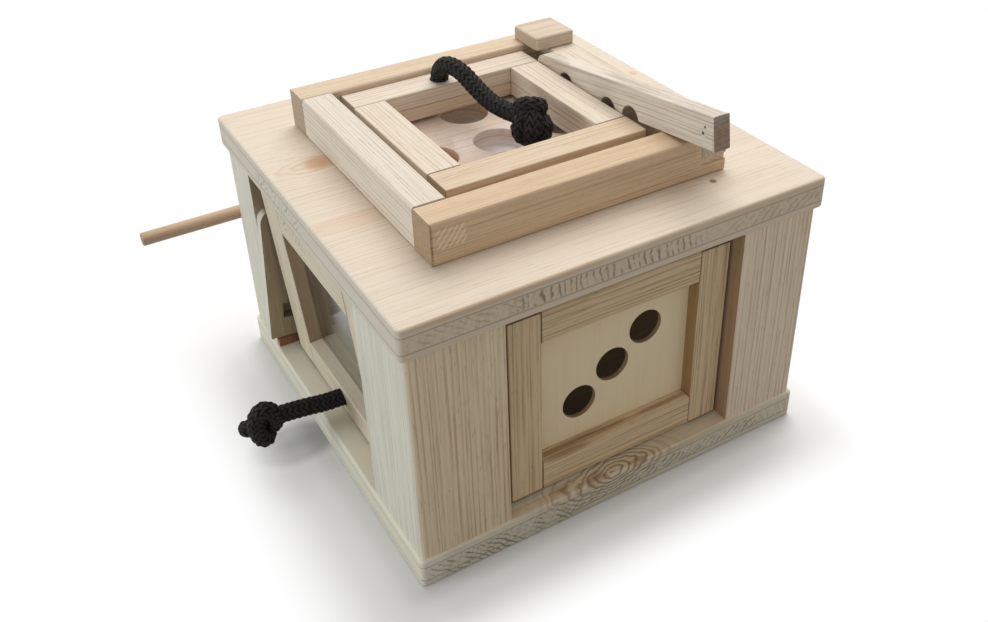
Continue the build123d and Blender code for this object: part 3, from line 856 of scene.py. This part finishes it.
# ------------------------------------------------------------------ clear panes
PANE_LIFT = 0.0003
PANE_BEVEL = 0.0004
RUBS = Pattern((90, 600, 90), 3.0, 0.7)
RUBBED_ROUGHNESS = 0.14
CLEAR_ROUGHNESS = 0.05
ACRYLIC_IOR = 1.45
LID_TINT = (1.0, 0.985, 0.99, 1)
LID_HAZE = 0.025
FLAP_TINT = (0.97, 0.98, 0.98, 1)
FLAP_HAZE = 0.21


def clear_sheet(name, tint, haze):
    """Clear acrylic: it lets light through and mirrors at a slant, with faint rubbing marks."""
    shader = Shader(name)
    rubs = shader.pattern(shader.object_place(), RUBS)
    rubbed = shader.math("MULTIPLY_ADD", rubs, RUBBED_ROUGHNESS, CLEAR_ROUGHNESS)
    slant = shader.node("ShaderNodeFresnel")
    slant.inputs["IOR"].default_value = ACRYLIC_IOR
    front = shader.math("SUBTRACT", 1.0, shader.node("ShaderNodeNewGeometry").outputs["Backfacing"])
    mirrored = shader.math("MULTIPLY_ADD", slant.outputs[0], front, haze, clamp=True)
    lamps = shader.node("ShaderNodeLightPath").outputs["Is Shadow Ray"]
    share = shader.math("MULTIPLY", mirrored, shader.math("SUBTRACT", 1.0, lamps))
    clear = shader.shaded("ShaderNodeBsdfTransparent", Color=tint)
    gloss = shader.shaded("ShaderNodeBsdfGlossy", Roughness=rubbed)
    return shader.output(shader.either(share, clear, gloss))


def lid_window():
    """The lid's clear pane with its edges eased, a hair above the board under it."""
    low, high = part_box("lid_pane")
    low.z += PANE_LIFT
    mesh = bmesh.new()
    bmesh.ops.create_cube(mesh, size=1.0)
    bmesh.ops.scale(mesh, vec=high - low, verts=mesh.verts)
    bmesh.ops.translate(mesh, vec=(low + high) / 2, verts=mesh.verts)
    bmesh.ops.bevel(
        mesh, geom=mesh.edges[:], offset=PANE_BEVEL, segments=2, profile=0.5, affect="EDGES", material=-1
    )
    made = add_mesh("lid_window", mesh)
    made.data.materials.append(clear_sheet("lid_acrylic", LID_TINT, LID_HAZE))
    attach(made, "lid")
    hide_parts("lid_pane")


lid_window()
dress("left_flap_pane", clear_sheet("flap_acrylic", FLAP_TINT, FLAP_HAZE))

# ------------------------------------------------------------------ the wood of each piece
# Each tone is a pale shade and the dark shade of its growth lines
TOP = ((231, 218, 201), (200, 174, 145))
EDGE = ((236, 228, 208), (184, 168, 138))
FRONT = ((244, 224, 192), (180, 148, 110))
FRONT_RIGHT = ((248, 230, 206), (188, 156, 124))
DOOR = ((234, 210, 172), (166, 134, 94))
DOOR_PANEL = ((253, 235, 198), (232, 202, 156))
SIDE = ((232, 228, 212), (190, 184, 162))
SIDE_DOOR = ((228, 216, 192), (176, 158, 126))
RED_SILL = ((178, 136, 110), (138, 98, 74))
BROWN = ((226, 206, 180), (178, 144, 112))
FRONT_BAR = ((222, 196, 164), (170, 136, 102))
PALE = ((234, 221, 204), (184, 160, 134))
GREEN = ((232, 221, 207), (174, 161, 140))
GREY = ((230, 219, 205), (158, 142, 122))
BLOCK = ((220, 202, 180), (176, 144, 114))
BEECH = ((208, 178, 150), (166, 130, 102))

TORN = (112, 94, 80)
SCUFFED = (136, 116, 98)
TORN_LEDGE = (150, 108, 66)
PIN_HOLE = (40, 32, 26)

top_middle = (top_low.z + top_high.z) / 2
ledge = base_high.z - 0.0005
bar_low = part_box("frame_front_bar")[0]
LEVER_TILT = 0.1414

wood(
    "top_board",
    TOP,
    grain="x",
    pith=(0.0, -0.95, 0.15),
    spacing=0.0034,
    wander=0.016,
    contrast=0.34,
    blotch=0.22,
    end_shade=0.95,
    knots=[
        Knot((-0.115, 0.044, 0.200), radius=0.0090, depth=0.7, shade=(204, 152, 108)),
        Knot((0.0859, -0.1154, 0.198), radius=0.0022, depth=0.85, shade=(132, 98, 62)),
        Knot((0.1425, 0.0469, 0.198), radius=0.0030, depth=0.5, shade=(214, 168, 124)),
    ],
    whorls=[
        Whorl(
            (-0.120, 0.044, top_high.z),
            size=(0.060, 0.024, 0.012),
            turns=5.0,
            depth=0.42,
            shade=(204, 164, 122),
        ),
    ],
    spots=[
        # a brown stain; the wells' floors lightened, a painted light and reflection; and the wells' walls
        # browned, a painted shade
        Spot((-0.124, -0.036, top_high.z), size=(0.045, 0.013, 0.004), depth=0.5, shade=(216, 176, 132)),
        Spot((0.001, 0.007, 0.1860), size=(0.080, 0.080, 0.0035), depth=1.0, shade=(255, 250, 250)),
        Spot((0.001, 0.007, 0.1930), size=(0.080, 0.080, 0.0045), depth=0.8, shade=(206, 154, 108)),
        # the front edge, its upper arris and the left edge
        Spot((0.0, top_low.y, top_middle), size=(0.30, 0.004, 0.022), depth=0.6, shade=(230, 208, 170)),
        Spot((-0.09, top_low.y, 0.1965), size=(0.09, 0.003, 0.003), depth=0.6, shade=(196, 150, 102)),
        Spot((top_low.x, 0.0, top_middle), size=(0.004, 0.30, 0.022), depth=0.6, shade=(214, 216, 208)),
    ],
    strokes=[
        Strokes(
            "front",
            along=-0.015,
            height=top_middle,
            half_length=0.075,
            half_height=CORE_PLY / 2,
            pitch=0.0045,
            slant=0.15,
            width=0.26,
            depth=0.75,
            shade=TORN,
        ),
        Strokes(
            "front",
            along=-0.105,
            height=top_middle,
            half_length=0.04,
            half_height=CORE_PLY / 2,
            pitch=0.007,
            slant=1.5,
            depth=0.4,
            shade=SCUFFED,
        ),
        Strokes(
            "front",
            along=0.11,
            height=top_middle,
            half_length=0.045,
            half_height=CORE_PLY / 2,
            pitch=0.007,
            slant=-1.2,
            depth=0.45,
            shade=SCUFFED,
        ),
        Strokes(
            "left",
            along=0.03,
            height=top_middle,
            half_length=0.045,
            half_height=CORE_PLY / 2,
            pitch=0.006,
            slant=0.8,
            depth=0.6,
            shade=(136, 132, 118),
        ),
    ],
    plywood=True,
    inside=True,
)
wood(
    "base_board",
    EDGE,
    grain="x",
    pith=(0.0, -0.9, 0.05),
    spacing=0.0030,
    wander=0.012,
    contrast=0.3,
    end_shade=0.97,
    knots=[Knot((-0.127, -0.021, base_high.z), radius=0.0014, depth=0.9, shade=(92, 68, 50))],
    spots=[
        # the left ledge and side lightened, a painted light on faces in shade; and the front ledge's tan
        Spot((-0.145, 0.0, 0.0140), size=(0.018, 0.40, 0.030), depth=1.0, shade=(248, 246, 230)),
        Spot((0.0, -0.1440, ledge), size=(0.16, 0.012, 0.006), depth=0.7, shade=(218, 190, 150)),
        # torn grain on the front ledge
        Spot((-0.0202, -0.1455, ledge), size=(0.011, 0.005, 0.004), depth=0.9, shade=TORN_LEDGE),
        Spot((0.0134, -0.1475, ledge), size=(0.009, 0.004, 0.004), depth=0.9, shade=TORN_LEDGE),
        Spot((-0.0454, -0.1423, ledge), size=(0.008, 0.004, 0.004), depth=0.8, shade=(160, 120, 78)),
    ],
    whorls=[
        Whorl(
            (-0.010, -0.1465, ledge),
            size=(0.085, 0.034, 0.030),
            turns=12.0,
            depth=0.8,
            shade=(146, 112, 76),
        ),
    ],
    strokes=[
        Strokes(
            "front",
            along=-0.09,
            height=0.008,
            half_length=0.06,
            half_height=0.0080,
            pitch=0.0055,
            slant=1.2,
            width=0.24,
            depth=0.8,
            shade=(110, 92, 76),
        ),
        Strokes(
            "front",
            along=0.04,
            height=0.010,
            half_length=0.09,
            half_height=CORE_PLY / 2,
            pitch=0.006,
            slant=-1.0,
            width=0.2,
            depth=0.8,
            shade=(112, 94, 76),
        ),
    ],
    plywood=True,
    inside=True,
)
for name, tone, pith, spacing, face_axis in (
    ("front_left_board", FRONT, (-0.9, -0.14, 0.0), 0.0034, "y"),
    ("front_right_board", FRONT_RIGHT, (-1.3, -0.10, 0.0), 0.0034, "y"),
    ("left_front_board", SIDE, (-0.14, -0.9, 0.0), 0.0024, "x"),
    ("left_rear_board", SIDE, (-0.10, -1.2, 0.0), 0.0024, "x"),
    ("right_wall_board", FRONT, (0.12, -1.1, 0.0), 0.0024, "x"),
):
    wood(
        name,
        tone,
        pith=pith,
        spacing=spacing,
        wander=0.004,
        contrast=0.58,
        flecks=0.3,
        inside=True,
        face_axis=face_axis,
    )
wood(
    "back_wall_board",
    FRONT,
    pith=(1.0, 0.12, 0.0),
    spacing=0.0023,
    wander=0.004,
    contrast=0.62,
    fibre=0.14,
    flecks=0.4,
    inside=True,
)
wood("sill_block", RED_SILL, grain="y", pith=(0.02, 0.01, 0.0))
wood("stop_bar", SIDE, pith=(-0.12, -0.7, 0.0), face_axis="x")

FLAP_GRAIN = {"spacing": 0.0032, "fibre": 0.16, "joint": 0.8}
for name, pith in (
    ("front_flap_left_stile", (0.5, -0.12, 0.0)),
    ("front_flap_right_stile", (-0.7, -0.13, 0.0)),
):
    wood(name, DOOR, pith=pith, wander=0.009, contrast=0.6, face_axis="y", **FLAP_GRAIN)
for name, pith, spots in (
    ("front_flap_top_rail", (0.0, -0.10, 0.8), []),
    (
        "front_flap_bottom_rail",
        (0.0, -0.09, -0.5),
        [
            Spot((-0.036, -0.137, 0.0455), size=(0.022, 0.004, 0.0035), depth=0.8, shade=(150, 112, 72)),
            Spot((-0.020, -0.131, 0.047), size=(0.045, 0.004, 0.003), depth=0.85, shade=(132, 102, 70)),
            Spot((0.040, -0.132, 0.047), size=(0.025, 0.003, 0.003), depth=0.7, shade=(138, 108, 74)),
        ],
    ),
):
    wood(name, DOOR, grain="x", pith=pith, wander=0.010, contrast=0.62, spots=spots, **FLAP_GRAIN)
wood(
    "front_flap_panel",
    DOOR_PANEL,
    pith=(0.3, 0.6, 0),
    spacing=0.006,
    contrast=0.06,
    fibre=0.10,
    flecks=0.15,
    face_axis="y",
)
for name, pith in (
    ("left_flap_front_stile", (-0.12, 0.6, 0.0)),
    ("left_flap_rear_stile", (-0.12, -0.7, 0.0)),
):
    wood(name, SIDE_DOOR, pith=pith, joint=0.6, face_axis="x")
wood(
    "left_flap_top_rail",
    SIDE_DOOR,
    grain="y",
    pith=(-0.12, 0.0, 0.8),
    joint=0.6,
    strokes=[
        Strokes(
            "left",
            along=0.036,
            height=0.160,
            half_length=0.030,
            half_height=0.007,
            pitch=0.0055,
            slant=0.8,
            depth=0.6,
            shade=(140, 134, 118),
        ),
    ],
)
wood("left_flap_bottom_rail", SIDE_DOOR, grain="y", pith=(-0.10, 0.0, -0.6), joint=0.6, contrast=0.65)
wood(
    "frame_front_bar",
    FRONT_BAR,
    grain="x",
    pith=(0.0, -0.16, 0.26),
    spacing=0.0017,
    contrast=0.4,
    end_shade=0.60,
    spots=[
        # the dark upright arris at the left end
        Spot((bar_low.x, bar_low.y, 0.212), size=(0.0015, 0.0015, 0.03), depth=0.9, shade=(108, 78, 54)),
    ],
    strokes=[
        Strokes(
            "front",
            along=-0.0945,
            height=0.2145,
            half_length=0.0105,
            half_height=0.0075,
            pitch=0.0040,
            slant=-0.8,
            width=0.26,
            ragged=0.2,
            depth=0.85,
            shade=(252, 234, 206),
        ),
    ],
)
wood("frame_left_bar", GREEN, grain="y", pith=(-0.17, 0.0, 0.26), spacing=0.0023, contrast=0.42, joint=0.8)
wood("frame_back_bar", BROWN, grain="x", pith=(0.0, 0.02, 0.27), spacing=0.0022, contrast=0.4, end_shade=0.6)
wood("frame_right_bar", PALE, grain="y", pith=(0.16, 0.0, 0.27), spacing=0.0022)
for name, pith, tone in (
    ("lid_front_rail", (0.0, -0.12, 0.27), BROWN),
    ("lid_back_rail", (0.0, 0.13, 0.28), PALE),
    ("lid_lower_front_rail", (0.0, -0.12, 0.26), BROWN),
    ("lid_lower_back_rail", (0.0, 0.13, 0.26), BROWN),
):
    wood(name, tone, grain="x", pith=pith, spacing=0.0022, wander=0.008, joint=0.75)
for name, pith in (
    ("lid_left_stile", (-0.13, 0.0, 0.27)),
    ("lid_right_stile", (0.12, 0.0, 0.27)),
    ("lid_lower_left_stile", (-0.13, 0.0, 0.26)),
    ("lid_lower_right_stile", (0.12, 0.0, 0.26)),
):
    wood(name, PALE, grain="y", pith=pith, wander=0.012, joint=0.75)
wood("lap_shim", BROWN, grain="y", pith=(0.05, 0.0, 0.1), end_shade=0.95)
wood(
    "lever_bar",
    GREY,
    grain="y",
    pith=(0.0, 0.0, 0.9),
    spacing=0.0030,
    wander=0.012,
    turn=LEVER_TILT,
    end_shade=0.55,
    spots=[
        # the browner end
        Spot((0.0716, -0.137, 0.243), size=(0.016, 0.004, 0.024), depth=0.8, shade=(206, 150, 112)),
    ],
    knots=[
        Knot((0.0656, -0.1255, 0.2416), radius=0.0011, depth=0.95, shade=PIN_HOLE),
        Knot((0.0656, -0.1268, 0.2461), radius=0.0008, depth=0.95, shade=PIN_HOLE),
    ],
)
wood("turn_block", BLOCK, grain="x", pith=(0.0, 0.11, 0.1), spacing=0.0022, contrast=0.35)
for name, grain in (
    ("back_rod", "x"),
    ("front_flap_pins", "x"),
    ("left_flap_pins", "y"),
    ("lever_pin", "x"),
    ("turn_block_pin", "z"),
):
    wood(name, BEECH, grain=grain, pith=(0.02, 0.16, 0.13), spacing=0.0016, contrast=0.3, flecks=0.35)
for name in ("left_rod_guide", "right_rod_guide"):
    wood(name, PALE, pith=(0.02, 0.2, 0.0))

# ------------------------------------------------------------------ floor, surround and lamps
SHADOW_REACH = 0.08  # from the box out to where the floor is plain white
FOOT_REACH = 0.05  # and to where the painted shadow along the base's left foot ends
RIGHT_HASTE = 1.2  # how much sooner the shadow ends at the right, and at the front and back
FRONT_HASTE = 1.25
FOOT_INSET = 0.010  # the painted foot shadow begins this far in from the base's left edge
FOOT_FADE = 0.02
# a painted shadow on the floor under the left rope, which stays there at every pose
PAINTED_ROPE_SHADOW = -0.68
PAINTED_ROPE_SHADOW_PLACE = (-0.170, 0.014, 0.0)
PAINTED_ROPE_SHADOW_SIZE = (0.040, 0.026, 1.0)
PAPER_SEEN = (0.93, 0.93, 0.94, 1)
PAPER_UNSEEN = (0.36, 0.36, 0.36, 1)  # so that the floor throws little light back at the box
GRIT_RATE = 900.0
GRIT_BUMP = 0.05
GRIT_DEPTH = 0.0002
WHITE = (1, 1, 1, 1)
SOFT_WHITE = (1.0, 0.975, 0.94, 1)
SOFT_STRENGTH = 0.42
FLOOR_HALF_WIDTH = 6.0
LAMP_AIM = Vector((0.0, 0.0, 0.1))
Lamp = namedtuple("Lamp", "name place tint size power")
LAMPS = (
    Lamp("key", (0.75, 1.10, 2.6), tint=(1.0, 0.99, 0.97), size=2.8, power=64.0),
    Lamp("side", (-2.2, 0.4, 0.4), tint=(0.88, 0.96, 1.0), size=0.8, power=14.5),
    Lamp("fill", (2.2, 1.4, 0.9), tint=(1.0, 0.97, 0.92), size=1.2, power=6.0),
)


def floor_finish():
    """White paper: it keeps the shadow close to the box, has a painted shadow along the base's left foot and
    under the left rope, and is plain white further out.
    """
    shader = Shader("white_floor")
    floor_place = shader.object_place()
    here = shader.separate(floor_place)
    sides = [
        shader.math(
            "MAXIMUM",
            shader.math("SUBTRACT", shader.math("ABSOLUTE", here[axis]), base_high[axis]),
            0.0,
        )
        for axis in (0, 1)
    ]
    haste = shader.math("MULTIPLY_ADD", shader.math("GREATER_THAN", here[0], 0.0), RIGHT_HASTE, 1.0)
    wide = shader.math("MULTIPLY", sides[0], haste)
    deep = shader.math("MULTIPLY", sides[1], FRONT_HASTE)
    box_gap = shader.vector("LENGTH", shader.combine(wide, deep, 0.0))
    seen = shader.shown_to_eye()
    fade = shader.ramp(shader.math("DIVIDE", box_gap, SHADOW_REACH), (0.0, 0.0), (0.3, 0.2), (1.0, 1.0))
    # painted shadow: the floor is darker along the base's left foot
    painted_foot_shadow = shader.ramp(shader.math("DIVIDE", box_gap, FOOT_REACH), (0.0, 0.9), (0.4, 0.95), (1.0, 1.0))
    leftwards = shader.math("SUBTRACT", base_low.x + FOOT_INSET, here[0])
    beside = shader.ramp(shader.math("DIVIDE", leftwards, FOOT_FADE), (0.0, 0.0), (1.0, 1.0))
    shade = shader.math("MULTIPLY_ADD", shader.math("SUBTRACT", painted_foot_shadow, 1.0), beside, 1.0)
    on_floor = shader.combine(here[0], here[1], 0.0)
    # painted shadow: a darker patch under the left rope
    painted_rope_shadow = soft_spot(shader, on_floor, PAINTED_ROPE_SHADOW_PLACE, PAINTED_ROPE_SHADOW_SIZE)
    shade = shader.math("MULTIPLY", shade, shader.math("MULTIPLY_ADD", painted_rope_shadow, PAINTED_ROPE_SHADOW, 1.0))
    paper = shader.mix(seen, PAPER_UNSEEN, PAPER_SEEN)
    paper = shader.tinted(paper, shader.combine(shade, shade, shade))
    grit = shader.bump(shader.noise(floor_place, GRIT_RATE), GRIT_BUMP, GRIT_DEPTH)
    matt = shader.shaded("ShaderNodeBsdfDiffuse", Color=paper, Normal=grit)
    white = shader.shaded("ShaderNodeEmission")
    return shader.output(shader.either(shader.math("MULTIPLY", fade, seen), matt, white))


def surround():
    """A soft light from all round, behind which the camera sees plain white."""
    shader = Shader("surround", "worlds")
    soft = shader.shaded("ShaderNodeBackground", Color=SOFT_WHITE, Strength=SOFT_STRENGTH)
    white = shader.shaded("ShaderNodeBackground", Color=WHITE, Strength=1.0)
    return shader.output(shader.either(shader.shown_to_eye(), soft, white), "ShaderNodeOutputWorld")


def studio():
    """A white floor that keeps the object's shadow, a white surround and soft lamps."""
    mesh = bmesh.new()
    bmesh.ops.create_grid(mesh, x_segments=1, y_segments=1, size=FLOOR_HALF_WIDTH)
    floor = add_mesh("floor", mesh)
    floor.data.materials.append(floor_finish())
    bpy.context.scene.world = surround()
    for lamp in LAMPS:
        data = bpy.data.lights.new(lamp.name, "AREA")
        data.shape = "DISK"
        data.size = lamp.size
        data.energy = lamp.power
        data.color = lamp.tint
        made = add_object(lamp.name, data)
        made.location = lamp.place
        made.rotation_euler = (Vector(lamp.place) - LAMP_AIM).to_track_quat("Z", "Y").to_euler()


studio()
bpy.context.scene.view_settings.view_transform = "Standard"
